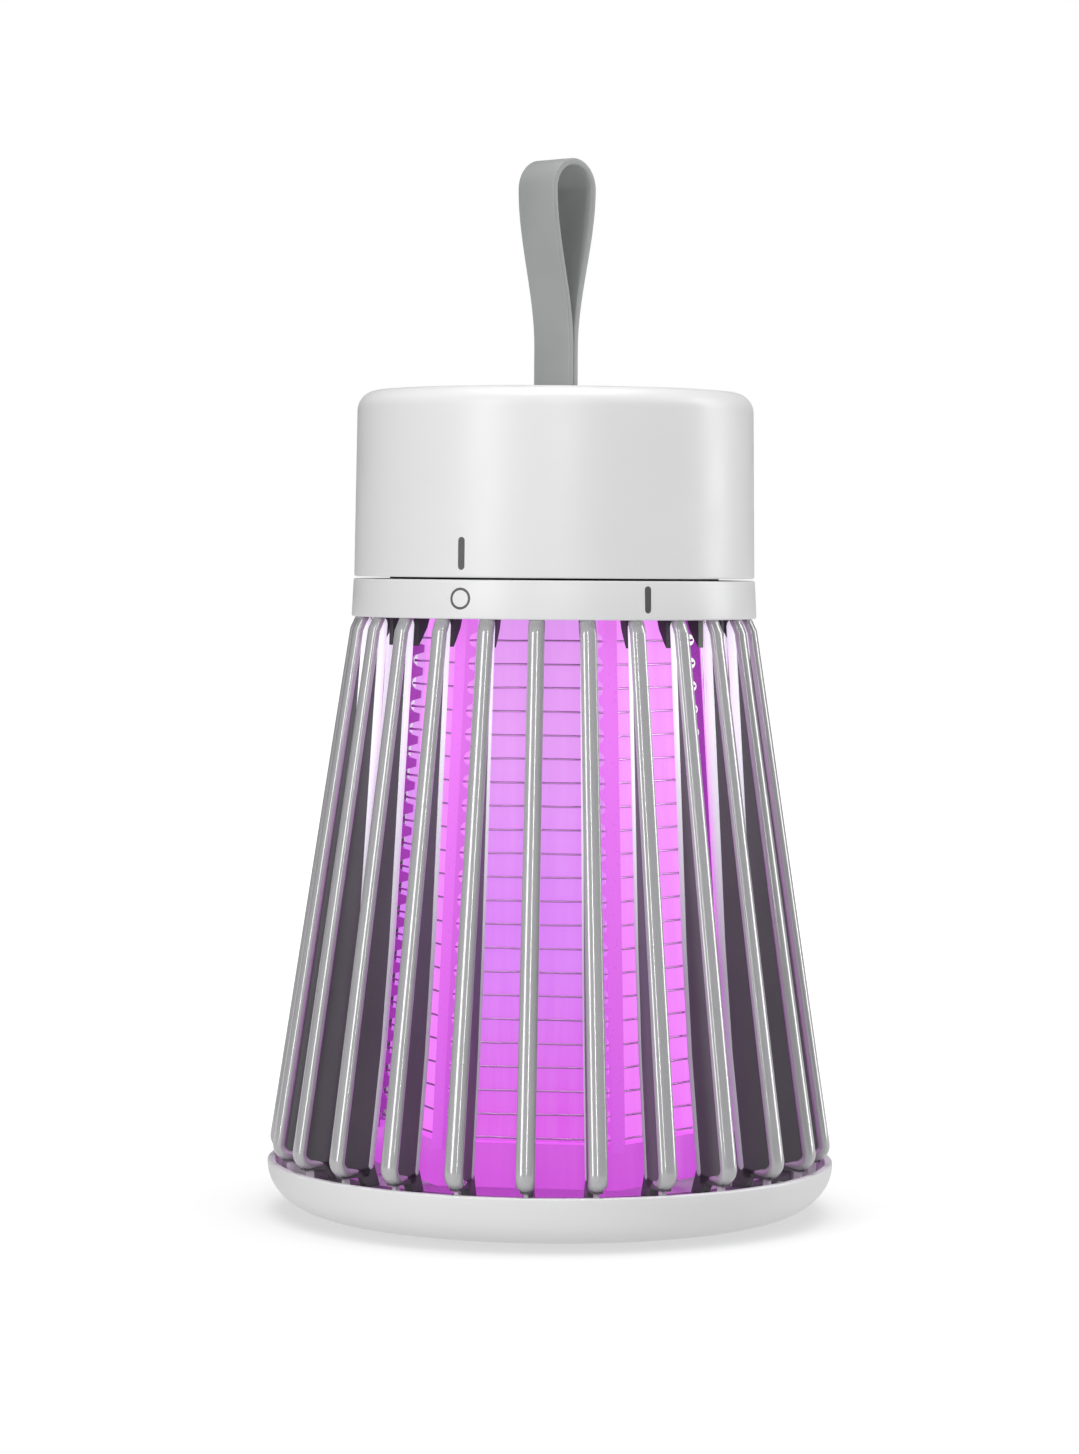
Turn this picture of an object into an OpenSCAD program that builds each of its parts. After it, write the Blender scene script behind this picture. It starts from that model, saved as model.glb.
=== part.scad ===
// Rechargeable electric bug zapper: a finned conical cage on a round tray, with a twist-on head
// that carries the battery, the high-voltage supply and a violet lit core ringed by bare wires.
// Z is up, the front is -Y, and the origin is on the surface it stands on, under the axis.

/* [Base tray] */
// Radius of the tray's rim
tray_r = 56.3; // [52:0.1:68]
// Height of the tray from its flat bottom to its rim
tray_h = 10; // [8:0.1:14]
// Radius of the flat under the tray
tray_flat_r = 45; // [36:0.5:46]
// Thickness of the tray's floor
tray_floor = 2; // [1.6:0.1:3]
// Width of the flat rim
rim_w = 1.6; // [1.2:0.1:2.4]
// How far the rubber feet stand out
foot_h = 0.6; // [0.4:0.1:1.5]
// Radius of each rubber foot
foot_r = 5; // [3:0.5:7]

/* [Fin cage] */
// Number of fins
fin_count = 25; // [18:1:30]
// Turn of the first fin from the front
fin_turn = -4.84; // [-7:0.01:7]
// Height of the fins
fin_h = 107; // [80:0.1:130]
// Outer radius of the cage at the top of the fins
cage_top_r = 40.3; // [39.8:0.1:42]
// Outer radius of the cage at the foot of the fins
cage_foot_r = 56.5; // [52:0.1:66]
// Inner radius of the fins at the foot
fin_foot_inner_r = 46.5; // [44:0.1:47]
// Thickness of a fin's plate
fin_t = 2; // [1.6:0.1:2.6]
// Radius of the round bead on a fin's edge, at the top
bead_top_r = 1.6; // [1.2:0.1:2]
// Radius of the round bead on a fin's edge, at the foot
bead_foot_r = 2; // [1.2:0.1:2.4]
// Gap between the rim and the foot of the fins
fin_gap = 0.5; // [0.4:0.1:3]

/* [Top ring] */
// Height of the top ring
ring_h = 7.5; // [6.5:0.1:10]
// Radius of the top ring at its lower edge
ring_r = 40.2; // [39.7:0.1:42]
// Wall of the top ring
ring_wall = 1.5; // [1.2:0.1:1.6]
// Thickness of the ring's flange, which holds the switch ramp
flange_t = 1.9; // [1.9:0.1:2.5]

/* [Head] */
// Height of the cap
cap_h = 36.7; // [34:0.1:45]
// Radius of the cap at its lower edge
cap_r = 39.7; // [39.3:0.1:42]
// How much the cap's radius falls to its top
cap_taper = 0.5; // [0.2:0.1:1.5]
// Radius of the round edge at the cap's top
cap_edge_r = 4; // [2:0.5:6]
// Wall of the cap
cap_wall = 2.4; // [2:0.1:2.5]
// Thickness of the cap's top
cap_top_t = 2.8; // [2:0.1:3.5]
// Gap between the cap and the top ring
seam = 0.4; // [0.3:0.05:0.6]
// Turn of the head from off to on, in degrees
twist = 53.2; // [40:0.1:60]
// Lift of the switch's plunger over that turn
plunger_lift = 1.2; // [0.8:0.1:1.3]

/* [Strap] */
// Height of the strap above the cap
strap_h = 46; // [30:0.5:60]
// Width of the strap's band
strap_w = 10; // [8:0.5:14]
// Thickness of one layer of the strap
strap_t = 1.3; // [1:0.1:1.6]
// Outer width of the loop where it is widest
loop_w = 12; // [9:0.5:14]
// Turn of the strap about the axis
strap_turn = 45; // [0:1:90]

/* [Lit core] */
// Radius of the diffuser's corners at the top
lit_top_r = 25.4; // [24:0.1:25.5]
// Radius of the diffuser's corners at its lower end
lit_foot_r = 31.9; // [28:0.1:32]
// Wall of the diffuser
lit_wall = 1.2; // [1:0.1:1.6]
// Number of wires in both electrodes together, an even number
wire_count = 22; // [16:2:24]
// Thickness of each bare wire
wire_t = 0.5; // [0.4:0.05:0.8]
// How far the wires' corners stand off the diffuser's corners
wire_off = 2.1; // [1.9:0.05:2.2]
// How far the posts stand out from the diffuser's corners
post_w = 3.5; // [3.3:0.05:3.6]
// Thickness of each post
post_t = 2.6; // [2.2:0.1:3.2]
// Turn of the first post from the front
post_turn = 22; // [0:1:60]

/* [Fits] */
// Radial clearance of the head's turning fit
turn_fit = 0.08; // [0.02:0.01:0.1]
// Clearance where the parts lift apart
lift_fit = 0.2; // [0.1:0.05:0.3]
// Clearance of pieces that are assembled once
fit = 0.05; // [0.02:0.01:0.1]
// Depth of the inlaid switch marks
mark_depth = 0.4; // [0.2:0.1:0.6]

/* [Hidden] */

$fn = 96;
eps = 0.01;
far = 200;

// Heights, from the floor up
tray_top = foot_h + tray_h;
fin_low = tray_top + fin_gap;
fin_high = fin_low + fin_h;
ring_low = fin_high + 0.3;
ring_top = ring_low + ring_h;
flange_low = ring_top - flange_t;
cap_low = ring_top + seam;
cap_high = cap_low + cap_h;
cap_ceiling = cap_high - cap_top_t;

// Cage: two hoops join the fins' ends, one behind the ring and one down in the tray
hoop_high = flange_low - fit;
hoop_low = ring_low + 0.3;
hoop_outer_r = ring_r - ring_wall - lift_fit - 0.1;
hoop_w = 1.6;
hoop_inner_r = hoop_outer_r - hoop_w;
fin_top_inner_r = hoop_inner_r;
foot_hoop_low = foot_h + tray_floor + 3.4;
foot_hoop_high = foot_hoop_low + 3.2;
foot_hoop_inner_r = fin_foot_inner_r - 1.5;
foot_hoop_outer_r = foot_hoop_inner_r + 3.4;
bead_corner = 2.8;
bead_lift = 0.3;

// Collar hub and the head's spigot, which turns in it
hub_spare = 0.8;
hub_outer_r = hoop_inner_r - lift_fit - hub_spare;
hub_low = ring_low + 1.9;
hub_bore_r = hub_outer_r - 3.1;
spigot_r = hub_bore_r - turn_fit;
spigot_low = ring_low + 0.4;
clip_h = 0.9;
clip_high = hub_low - 0.1;
clip_low = clip_high - clip_h;
clip_inner_r = spigot_r - 0.9;
clip_outer_r = spigot_r + 1.7;
gusset_t = 1.6;
gusset_inner_r = hub_bore_r + 0.3;
gusset_low = ring_low - 5.4;

// Head base and cap
base_low = cap_low + 0.1;
base_t = 2;
base_high = base_low + base_t;
cap_bore_r = cap_r - cap_wall;
base_r = cap_bore_r - fit;
boss_r = 2.6;
boss_at = cap_bore_r - 2.4;
screw_turns = [45, 135, 225, 315];
ledge_r = 26;
plate_r = spigot_r - 2.9;
plate_low = spigot_low;
plate_high = plate_low + 2.4;

// Switch: a plunger in the head rides a ramp in the ring's flange
switch_turn = 120;
switch_at = 35.5;
plunger_r = 1;
ramp_w = 2.6;
ramp_low = flange_low + 0.5;
ramp_mid = ramp_low + plunger_lift / 2;
ramp_slope = atan(plunger_lift / 2 / (switch_at * sin(twist / 2)));

// Main board and what stands on it
pcb_low = base_high + 4.6;
pcb_t = 1.6;
pcb_top = pcb_low + pcb_t;
pcb_r = boss_at - boss_r - 0.8;
tongue_w = 13;
standoff_at = pcb_r - 1.9;
standoff_turns = [0, 90, 270];
cell_r = 9.1;
cell_l = 50;
cell_y = 12;
holder_floor = 1.4;
cell_z = pcb_top + holder_floor + cell_r + fit;
usb_w = 9;
usb_h = 3.2;
usb_reach = cap_r - 0.35;
lamp_r = 1.5;
lamp_x = 10;

// Strap
strap_pin_r = 1;
root_r = strap_pin_r + strap_t;
root_z = cap_ceiling - root_r - 0.1;
strap_top = cap_high + strap_h;
loop_r = loop_w / 2;
loop_mid = strap_top - loop_r;
fuse_z = cap_high + 9;

// Lit core
core_top = plate_low - fit;
core_foot = fin_low + 6.3;
core_low = foot_h + tray_floor + 6.2;
post_low = core_foot - 1.5;
wire_high = core_top - 4.6;
wire_low = core_foot + 0.9;
wire_pitch = (wire_high - wire_low) / (wire_count - 1);
notch_r = 1.2;
notch_flare = 0.4;
foot_step = 0.4;
rib_w = wire_off - wire_t * 0.58 - 0.35;
notch_in = wire_off + wire_t * 0.58 + fit - notch_r;
bar_t = 0.5;
facet = cos(30);
board_w = 20;
board_t = 1.6;
board_low = core_foot + 5;
led_size = 5;
led_count = 8;

function lit_r(z) = lit_foot_r + (lit_top_r - lit_foot_r) * (z - core_foot) / (core_top - core_foot);
function wire_r(z) = lit_r(z) + wire_off;
function flat_r(z) = wire_r(z) * facet;
function cage_r(z) = cage_foot_r + (cage_top_r - cage_foot_r) * (z - fin_low) / fin_h;
function fin_inner_r(z) = fin_foot_inner_r + (fin_top_inner_r - fin_foot_inner_r) * (z - fin_low) / fin_h;
function cap_outer_r(z) = cap_r - cap_taper * (z - cap_low) / cap_h;
function ring_outer_r(z) = ring_r - 0.4 * (z - ring_low) / ring_h;
function wire_z(i) = wire_high - i * wire_pitch;
function arc(x, y, r, from, to, steps) =
    [for (i = [0 : steps]) let (a = from + (to - from) * i / steps) [x + r * cos(a), y + r * sin(a)]];

// Places children at a turn from the front, with their own +X pointing outwards.
module at_turn(turn) {
    rotate([0, 0, turn - 90]) children();
}

// Stands a flat outline of radius and height upright in the plane of the axis.
module upright(t) {
    translate([0, t / 2, 0]) rotate([90, 0, 0]) linear_extrude(t) children();
}

// ---------------------------------------------------------------- base tray

module tray_profile() {
    rim_r = tray_r - rim_w;
    belly = [for (p = arc(0, 0, 1, -90, 0, 14))
        [tray_flat_r + (tray_r - tray_flat_r) * p[0], tray_top - 0.3 + (tray_h - 0.3) * p[1]]];
    inside = [[rim_r, tray_top], [rim_r, tray_top - 1.2], [tray_r - 3.1, foot_h + tray_h * 0.56],
        [tray_r - 5.7, foot_h + tray_h * 0.3], [tray_flat_r + 1, foot_h + tray_floor], [0, foot_h + tray_floor]];
    polygon(concat([[0, foot_h]], belly, [[tray_r - 0.3, tray_top]], inside));
}

// A thin rib from the dish's inside up to a peg under one fin.
module tray_rib() {
    seat_r = foot_hoop_outer_r + 0.1;
    peg_r = tray_r - 4.5;
    slope = (tray_h * 0.3 - tray_floor) / (tray_r - tray_flat_r - 6.7);
    seat_z = foot_h + tray_floor + (seat_r - tray_flat_r - 1) * slope;
    upright(0.8) polygon([[seat_r, seat_z + fit], [tray_r - 5.7, foot_h + tray_h * 0.3 + fit],
        [tray_r - 3.1 - fit, foot_h + tray_h * 0.56], [tray_r - 1.9, tray_top - 1.6],
        [peg_r + 1.4, tray_top - 1.6], [peg_r + 1.4, fin_low - fit], [peg_r, fin_low - fit],
        [peg_r, tray_top - 1.8], [foot_hoop_outer_r + 1.6, tray_top - 1.8]]);
}

module base_tray() {
    color("white") difference() {
        union() {
            rotate_extrude() tray_profile();
            translate([0, 0, foot_h + tray_floor - eps])
                difference() {
                    cylinder(h = foot_hoop_low - foot_h - tray_floor - fit + eps, r = foot_hoop_outer_r - 0.5);
                    translate([0, 0, -1]) cylinder(h = far, r = foot_hoop_inner_r + 0.5);
                }
        }
        for (i = [0 : 3]) at_turn(45 + i * 90) translate([tray_flat_r - foot_r - 2, 0, 0])
            cylinder(h = foot_h + 0.6, r = foot_r + fit);
    }
}

module tray_ribs() {
    color("white") for (i = [0 : fin_count - 1]) at_turn(fin_turn + i * 360 / fin_count) tray_rib();
}

module rubber_feet() {
    color("dimgray") for (i = [0 : 3]) at_turn(45 + i * 90) translate([tray_flat_r - foot_r - 2, 0, 0])
        cylinder(h = foot_h + 0.6, r = foot_r);
}

// ---------------------------------------------------------------- fin cage

// A round bar along Z with rounded ends, thinner at its top.
module bead(length) {
    foot = arc(0, bead_foot_r, bead_foot_r, -70, 0, 4);
    tip = arc(0, length - bead_top_r, bead_top_r, 0, 70, 4);
    rotate_extrude($fn = 32) polygon(concat([[0, foot[0][1]]], foot, tip, [[0, tip[4][1]]]));
}

module fin() {
    lean = atan((cage_foot_r - cage_top_r) / fin_h);
    edge_low = cage_r(fin_low) - bead_foot_r;
    edge_high = cage_r(fin_high) - bead_top_r;
    upright(fin_t) polygon(concat(
        [[foot_hoop_inner_r + 0.1, foot_hoop_high], [foot_hoop_outer_r - 0.1, foot_hoop_high],
        [foot_hoop_outer_r + 1.5, fin_low], [edge_low - 1, fin_low], [edge_low, fin_low + bead_corner]],
        [[edge_high, fin_high - bead_corner], [hoop_outer_r - 0.1, fin_high], [hoop_outer_r - 0.1, hoop_low],
        [fin_top_inner_r + 0.1, hoop_low], [fin_top_inner_r + 0.1, fin_high], [fin_foot_inner_r, fin_low]]));
    translate([edge_low, 0, fin_low + bead_lift]) rotate([0, -lean, 0])
        bead((fin_h - 2 * bead_lift) / cos(lean));
}

module hoop(inner_r, outer_r, low, high) {
    rotate_extrude() translate([inner_r, low]) square([outer_r - inner_r, high - low]);
}

module fins() {
    color("gray") for (i = [0 : fin_count - 1]) at_turn(fin_turn + i * 360 / fin_count) fin();
}

module upper_hoop() {
    color("gray") hoop(hoop_inner_r, hoop_outer_r, hoop_low, hoop_high);
}

module lower_hoop() {
    color("gray") hoop(foot_hoop_inner_r, foot_hoop_outer_r, foot_hoop_low, foot_hoop_high);
}

// ---------------------------------------------------------------- top ring and collar

// The ring's outside, with its surface moved in by inset.
module ring_body(inset) {
    rotate_extrude() polygon([[0, ring_low], [ring_r - 0.2 - inset, ring_low], [ring_r - inset, ring_low + 0.2],
        [ring_outer_r(ring_top) - inset, ring_top - 0.4], [ring_outer_r(ring_top) - 0.4 - inset, ring_top],
        [0, ring_top]]);
}

// A bar with round ends that points outwards through the wall at a height.
module radial_bar(turn, z, w, h) {
    at_turn(turn) translate([ring_r / 2, 0, z]) rotate([90, 0, 90]) linear_extrude(ring_r) {
        translate([0, (h - w) / 2]) circle(d = w);
        translate([0, -(h - w) / 2]) circle(d = w);
        square([w, h - w], center = true);
    }
}

module radial_ring(turn, z, outer_r, line) {
    at_turn(turn) translate([ring_r / 2, 0, z]) rotate([90, 0, 90]) linear_extrude(ring_r) difference() {
        circle(r = outer_r);
        circle(r = outer_r - line);
    }
}

ring_mark_z = ring_low + 3.9;
off_turn = -twist / 2;
on_turn = twist / 2;

module off_shape() {
    radial_ring(off_turn, ring_mark_z, 2.1, 0.5);
}

module on_shape() {
    radial_bar(on_turn, ring_mark_z, 1.35, 5.2);
}

// The switch ramp: a tilted floor in a curved groove, low at the off end and high at the on end.
module ramp_cut() {
    margin = 6;
    mid_turn = switch_turn + twist / 2;
    at_turn(mid_turn) intersection() {
        difference() {
            cylinder(h = far, r = switch_at + ramp_w / 2);
            cylinder(h = far, r = switch_at - ramp_w / 2);
        }
        rotate([0, 0, -twist / 2 - margin]) wedge(twist + 2 * margin);
        translate([0, 0, ramp_mid]) rotate([ramp_slope, 0, 0]) translate([-far, -far, 0])
            cube([2 * far, 2 * far, 20]);
    }
}

// A sector of a disc from +X round to an angle under 90 degrees, tall enough to cut anything.
module wedge(angle) {
    linear_extrude(far) polygon([[0, 0], [far, 0], [far, far * tan(angle / 2)],
        [far * cos(angle), far * sin(angle)]]);
}

module top_ring() {
    color("white") difference() {
        ring_body(0);
        translate([0, 0, ring_low - 1]) cylinder(h = flange_low - ring_low + 1, r = ring_r - ring_wall);
        cylinder(h = far, r = hub_bore_r + 0.4);
        difference() {
            off_shape();
            ring_body(mark_depth);
        }
        difference() {
            on_shape();
            ring_body(mark_depth);
        }
        ramp_cut();
    }
}

module ring_mark_off() {
    color("dimgray") difference() {
        intersection() {
            off_shape();
            ring_body(0);
        }
        ring_body(mark_depth);
    }
}

module ring_mark_on() {
    color("dimgray") difference() {
        intersection() {
            on_shape();
            ring_body(0);
        }
        ring_body(mark_depth);
    }
}

module collar_hub() {
    clip_clear_r = clip_outer_r + 0.3;
    color("dimgray") {
        hoop(hub_bore_r, hub_outer_r, hub_low, flange_low);
        for (i = [0 : fin_count - 1]) at_turn(fin_turn + i * 360 / fin_count) upright(gusset_t)
            polygon([[hub_outer_r, gusset_low], [hub_outer_r - 0.8, gusset_low + 1.2],
                [gusset_inner_r + 0.6, ring_low - 1.8], [gusset_inner_r, ring_low],
                [gusset_inner_r, ring_low + 0.5],
                [clip_clear_r, ring_low + 0.8], [clip_clear_r, hub_low + 0.5],
                [hub_outer_r - 0.1, hub_low + 0.5], [hub_outer_r - 0.1, ring_low]]);
    }
}

// ---------------------------------------------------------------- cap

module cap_body(inset) {
    r_low = cap_r - inset;
    r_high = cap_outer_r(cap_high) - inset;
    rotate_extrude() polygon(concat([[0, cap_low], [r_low - 0.3, cap_low], [r_low, cap_low + 0.3]],
        arc(r_high - cap_edge_r, cap_high - cap_edge_r, cap_edge_r, 0, 90, 10), [[0, cap_high]]));
}

module cap_mark_shape() {
    radial_bar(off_turn, cap_low + 4.6, 1.4, 6.3);
}

module usb_cut(clear) {
    translate([-usb_w / 2 - clear, pcb_r - 2, pcb_top - clear])
        cube([usb_w + 2 * clear, far, usb_h + 2 * clear]);
}

module cap_shell() {
    color("white") difference() {
        cap_body(0);
        difference() {
            translate([0, 0, cap_low - 1]) cylinder(h = cap_ceiling - cap_low + 1, r = cap_bore_r);
            for (turn = screw_turns) at_turn(turn) translate([boss_at, 0, base_high + fit])
                cylinder(h = far, r = boss_r);
        }
        for (turn = screw_turns) at_turn(turn) translate([boss_at, 0, 0])
            cylinder(h = base_high + 9, r = 1.25, $fn = 32);
        difference() {
            cap_mark_shape();
            cap_body(mark_depth);
        }
        rotate([0, 0, strap_turn]) translate([-strap_t - 0.2, -strap_w / 2 - 0.3, cap_ceiling - 1])
            cube([2 * strap_t + 0.4, strap_w + 0.6, far]);
        usb_cut(0.3);
        translate([lamp_x, 0, pcb_top + lamp_r + 0.2]) rotate([-90, 0, 0])
            cylinder(h = far, r = lamp_r + fit, $fn = 32);
    }
}

module cap_mark() {
    color("dimgray") difference() {
        intersection() {
            cap_mark_shape();
            cap_body(0);
        }
        cap_body(mark_depth);
    }
}

// ---------------------------------------------------------------- strap

// Half the distance between the strap's layers, on their middle lines, at a height.
function strap_spread(z) = let (t = max(0, min(1, (z - fuse_z) / (loop_mid - fuse_z))))
    strap_t / 2 + (loop_r - strap_t) * t * t * (3 - 2 * t);

// The outline of the loop with its layers' middle line moved out by grow.
module loop_outline(low, grow) {
    side = [for (i = [0 : 16]) let (z = low + (loop_mid - low) * i / 16) [max(0, strap_spread(z) + grow), z]];
    crown = arc(0, loop_mid, loop_r - strap_t / 2 + grow, 8, 172, 18);
    back = [for (i = [16 : -1 : 0]) [-side[i][0], side[i][1]]];
    polygon(concat(side, crown, back));
}

module strap() {
    color("darkgray") rotate([0, 0, strap_turn]) upright(strap_w) difference() {
        union() {
            translate([-strap_t, root_z]) square([2 * strap_t, fuse_z + 1 - root_z]);
            loop_outline(fuse_z, strap_t / 2);
            translate([0, root_z]) circle(r = root_r);
        }
        loop_outline(fuse_z + 3, -strap_t / 2);
        translate([0, root_z]) circle(r = strap_pin_r + fit);
    }
}

module strap_pin() {
    color("silver") rotate([0, 0, strap_turn]) translate([0, 0, root_z]) rotate([90, 0, 0])
        cylinder(h = strap_w + 6, r = strap_pin_r, center = true);
}

// ---------------------------------------------------------------- head base

module head_base() {
    color("dimgray") difference() {
        union() {
            translate([0, 0, base_low]) cylinder(h = base_t, r = base_r);
            for (turn = standoff_turns) at_turn(turn) translate([standoff_at, 0, base_high - eps])
                cylinder(h = pcb_low - base_high + eps, r = 1.8, $fn = 32);
        }
        cylinder(h = far, r = ledge_r);
        for (turn = screw_turns) at_turn(turn) translate([boss_at, 0, 0]) {
            cylinder(h = far, r = 1.4, $fn = 32);
            cylinder(h = base_low + 1.2, r = 2.4, $fn = 32);
        }
        for (turn = standoff_turns) at_turn(turn) translate([standoff_at, 0, base_high])
            cylinder(h = far, r = 0.85, $fn = 32);
        at_turn(switch_turn) translate([switch_at, 0, 0]) cylinder(h = far, r = plunger_r + turn_fit, $fn = 48);
    }
}

// The neck under the head base, which turns in the collar's hub and holds the lit core.
module head_spigot() {
    color("dimgray") difference() {
        translate([0, 0, spigot_low]) cylinder(h = base_low - spigot_low, r = spigot_r);
        translate([0, 0, spigot_low - 1]) cylinder(h = plate_high - spigot_low + 1 + fit, r = plate_r + fit);
        cylinder(h = far, r = ledge_r);
        hoop(clip_inner_r, far, clip_low - fit, clip_high + fit);
        for (i = [0 : 2]) at_turn(post_turn + 30 + i * 120) translate([plate_r - 1.7, 0, 0])
            cylinder(h = plate_high + 4, r = 0.85, $fn = 32);
    }
}

// A screw that points up, with its head's underside at z = 0.
module screw(head_r, head_h, shank_r, shank_l) {
    difference() {
        union() {
            translate([0, 0, -head_h]) cylinder(h = head_h, r = head_r, $fn = 32);
            cylinder(h = shank_l, r = shank_r, $fn = 32);
        }
        for (turn = [0, 90]) rotate([0, 0, turn]) translate([0, 0, -head_h])
            cube([head_r * 1.3, 0.4, head_h], center = true);
    }
}

module cap_screws() {
    color("silver") for (turn = screw_turns) at_turn(turn) translate([boss_at, 0, base_low + 1.2])
        screw(2.3, 1.1, 1.2, 8);
}

module retaining_ring() {
    color("silver") difference() {
        hoop(clip_inner_r + fit, clip_outer_r, clip_low, clip_high);
        at_turn(180) translate([clip_inner_r - 2, -1.5, clip_low - 1]) cube([8, 3, clip_h + 2]);
    }
}

// ---------------------------------------------------------------- electronics

module main_pcb() {
    color("green") difference() {
        union() {
            translate([0, 0, pcb_low]) cylinder(h = pcb_t, r = pcb_r);
            translate([-tongue_w / 2, 0, pcb_low]) cube([tongue_w, cap_bore_r - 1.2, pcb_t]);
        }
        for (turn = standoff_turns) at_turn(turn) translate([standoff_at, 0, 0])
            cylinder(h = far, r = 1.1, $fn = 32);
    }
}

module pcb_screws() {
    color("silver") for (turn = standoff_turns) at_turn(turn) translate([standoff_at, 0, pcb_top])
        rotate([180, 0, 0]) screw(1.8, 1.1, 0.8, 5);
}

module battery_cell() {
    color("mediumseagreen") translate([-cell_l / 2, cell_y, cell_z]) rotate([0, 90, 0]) {
        cylinder(h = cell_l, r = cell_r);
        translate([0, 0, cell_l - eps]) cylinder(h = 1 + eps, r = 2.8);
    }
}

module battery_holder() {
    wall = 1.2;
    inner_l = cell_l + 1.2;
    outer_l = inner_l + 2 * wall;
    color("black") translate([-outer_l / 2 + 0.5, cell_y - cell_r - 0.8, pcb_top]) difference() {
        cube([outer_l, 2 * cell_r + 1.6, cell_r + 4]);
        translate([wall, cell_r + 0.8, cell_z - pcb_top]) rotate([0, 90, 0])
            cylinder(h = inner_l, r = cell_r + fit);
        translate([wall, 0.8 - fit, cell_z - pcb_top]) cube([inner_l, 2 * cell_r + 2 * fit, far]);
    }
}

module transformer_core() {
    color("dimgray") translate([-10, -14, pcb_top]) difference() {
        translate([-8, -6, 0]) cube([16, 12, 14]);
        translate([-5.5, -7, 2.5]) cube([3.4, 14, 9]);
        translate([2.1, -7, 2.5]) cube([3.4, 14, 9]);
    }
}

module transformer_winding() {
    color("gold") translate([-10, -14, pcb_top + 7]) difference() {
        cube([10.6, 16, 8.6], center = true);
        cube([4.4, 12.1, 9], center = true);
        for (side = [-1, 1]) translate([side * 4.1, 0, 0]) difference() {
            cube([4.1, 20, 9], center = true);
            translate([-side * 0.45, 0, 0]) cube([3, 21, 8.6], center = true);
        }
    }
}

module hv_capacitors() {
    color("firebrick") for (i = [0 : 1]) translate([7, -19 + i * 7.5, pcb_top]) {
        translate([0, 0, 0.8]) cube([12, 5, 9]);
        for (x = [2, 9.4]) translate([x, 2.2, 0]) cube([0.6, 0.6, 1]);
    }
}

module rectifier_diodes() {
    color("black") for (i = [0 : 3]) translate([-1 + i * 3.6, -24.6, pcb_top + 1.4]) rotate([-90, 0, 0]) {
        cylinder(h = 3.2, r = 1.3, $fn = 32);
        translate([0, 0.9, 1.2]) cube([0.6, 1, 0.8], center = true);
    }
}

module usb_socket() {
    wall = 0.35;
    back = pcb_r - 1;
    color("silver") translate([-usb_w / 2, back, pcb_top]) difference() {
        cube([usb_w, usb_reach - back, usb_h]);
        translate([wall, 1.2, wall]) cube([usb_w - 2 * wall, far, usb_h - 2 * wall]);
    }
    color("black") translate([-usb_w / 2 + 1.2, back + 1, pcb_top + usb_h / 2 - 0.35])
        cube([usb_w - 2.4, usb_reach - back - 2, 0.7]);
}

module charge_lamp() {
    lamp_front = sqrt(pow(cap_outer_r(pcb_top), 2) - lamp_x * lamp_x) + 0.3;
    color("lightgreen") translate([lamp_x, 0, pcb_top + lamp_r + 0.2]) rotate([-90, 0, 0])
        translate([0, 0, pcb_r - 3]) cylinder(h = lamp_front - pcb_r + 3, r = lamp_r, $fn = 32);
}

module switch_body() {
    color("black") difference() {
        at_turn(switch_turn) translate([switch_at - 4.2, -4, base_high]) cube([5.4, 8, 3.6]);
        at_turn(switch_turn) translate([switch_at, 0, base_high - 1])
            cylinder(h = plunger_lift + 3.4, r = plunger_r + turn_fit, $fn = 48);
    }
}

module switch_plunger() {
    tip = ramp_low + 0.08;
    color("red") at_turn(switch_turn) translate([switch_at, 0, tip])
        cylinder(h = base_high + 1 - tip, r = plunger_r, $fn = 48);
}

// ---------------------------------------------------------------- lit core

// A closed six-sided cone between two heights, with its corners moved out by grow.
module hex_cone(low, high, grow) {
    rotate([0, 0, post_turn - 90]) translate([0, 0, low])
        cylinder(h = high - low, r1 = lit_r(low) + grow, r2 = lit_r(high) + grow, $fn = 6);
}

module light_diffuser() {
    color("violet") {
        difference() {
            hex_cone(core_foot, core_top, 0);
            hex_cone(core_foot - 1, core_top - lit_wall, -lit_wall / facet);
            translate([0, 0, core_top]) cube([board_w + 1, board_t + 1, 10], center = true);
        }
        for (i = [0 : 5]) at_turn(post_turn + i * 60) upright(1)
            polygon([[lit_r(core_foot) - 0.8, core_foot + 0.5], [lit_r(core_foot) + rib_w, core_foot + 0.5],
                [lit_r(core_top) + rib_w, core_top - 0.5], [lit_r(core_top) - 0.8, core_top - 0.5]]);
    }
}

// A notch for a wire: round at its outer end and wider at the diffuser.
module notch() {
    circle(r = notch_r, $fn = 32);
    wide = notch_r + notch_flare;
    polygon([[0, -notch_r], [0, notch_r], [-notch_in, wide], [-notch_in, -wide]]);
}

// A notched post that holds the wires off one corner of the diffuser.
module grid_post(number) {
    high = plate_high;
    color("mediumorchid") at_turn(post_turn + (number - 1) * 60) difference() {
        upright(post_t) difference() {
            polygon([[lit_r(post_low) + 0.1, post_low], [lit_r(post_low) + post_w, post_low],
                [lit_r(high) + post_w, high], [lit_r(high) + 0.1, high]]);
            for (i = [0 : wire_count - 1]) translate([lit_r(wire_z(i)) + notch_in, wire_z(i)]) notch();
        }
        upright(1.2) polygon([[0, core_foot - 1], [lit_r(core_foot - 1) + rib_w + 0.1, core_foot - 1],
            [lit_r(core_top) + rib_w + 0.1, core_top + fit], [0, core_top + fit]]);
    }
}

// A six-sided loop of bare wire, bent round the posts.
module wire_loop(z) {
    rotate([0, 0, post_turn - 90]) translate([0, 0, z - wire_t / 2]) linear_extrude(wire_t) difference() {
        circle(r = wire_r(z) + wire_t / 2 / facet, $fn = 6);
        circle(r = wire_r(z) - wire_t / 2 / facet, $fn = 6);
    }
}

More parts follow.
